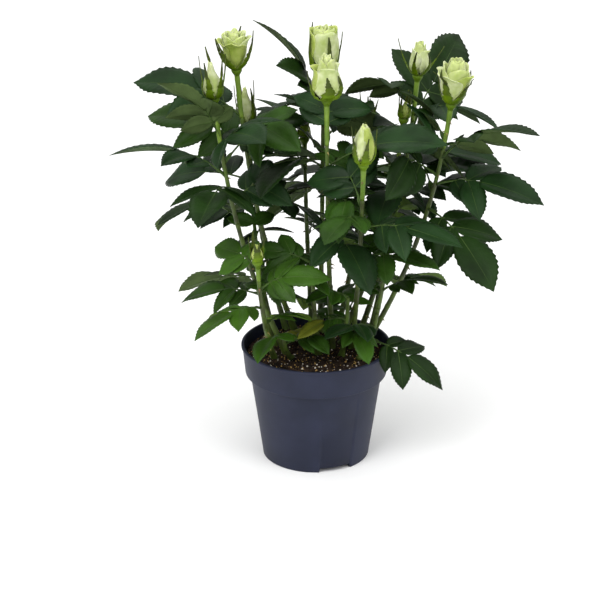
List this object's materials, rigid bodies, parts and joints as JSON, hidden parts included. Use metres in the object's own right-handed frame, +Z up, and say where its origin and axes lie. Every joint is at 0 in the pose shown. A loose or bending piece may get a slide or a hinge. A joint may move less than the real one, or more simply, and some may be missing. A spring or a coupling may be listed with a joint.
{
  "type": "potted patio rose bush",
  "caption": "Leafy patio rose with cream-green buds on upright canes, growing in a round tapered nursery pot.",
  "frame": {"origin": "centre of the pot's underside, on the surface that it stands on", "axes": "+Z up, -Y towards the viewer of the picture, +X to the viewer's right"},
  "size_m": [0.3367, 0.283, 0.3839],
  "materials": {
    "pot_plastic": "satin moulded dark blue-grey",
    "growing_medium": "rough dark peat with white grains",
    "green_bark": "smooth green young bark with prickles",
    "foliage": "dark green leaves, semi-matt above and paler below",
    "petal": "soft cream-green petals"
  },
  "bodies": {
    "root": {"pot": "pot_plastic", "soil": "growing_medium", "cane_left": "green_bark", "cane_left_back": "green_bark", "cane_mid_back": "green_bark", "cane_mid_front": "green_bark", "cane_right_back": "green_bark", "cane_right": "green_bark", "cane_front": "green_bark", "cane_back_small": "green_bark", "cane_left_low": "green_bark", "cane_back_left": "green_bark", "cane_back_right": "green_bark", "cane_back": "green_bark", "cane_low_front": "green_bark", "cane_low_right": "green_bark", "cane_low_left": "green_bark", "cane_low_back_left": "green_bark", "cane_low_back_right": "green_bark", "cane_low_middle": "green_bark", "cane_rim_left": "green_bark", "cane_rim_right": "green_bark", "cane_rim_back": "green_bark", "cane_yellowed": "green_bark", "cane_base_right": "green_bark", "crown_left": "foliage", "crown_left_back": "foliage", "crown_mid_back": "foliage", "crown_mid_front": "foliage", "crown_right_back": "foliage", "crown_right": "foliage", "crown_front": "foliage", "crown_back_small": "foliage", "crown_left_low": "foliage", "crown_back_left": "foliage", "crown_back_right": "foliage", "crown_back": "foliage", "crown_low_front": "foliage", "crown_low_right": "foliage", "crown_low_left": "foliage", "crown_low_back_left": "foliage", "crown_low_back_right": "foliage", "crown_low_middle": "foliage", "crown_rim_left": "foliage", "crown_rim_right": "foliage", "crown_rim_back": "foliage", "crown_yellowed": "foliage", "crown_base_right": "foliage"}
  },
  "joints": []
}
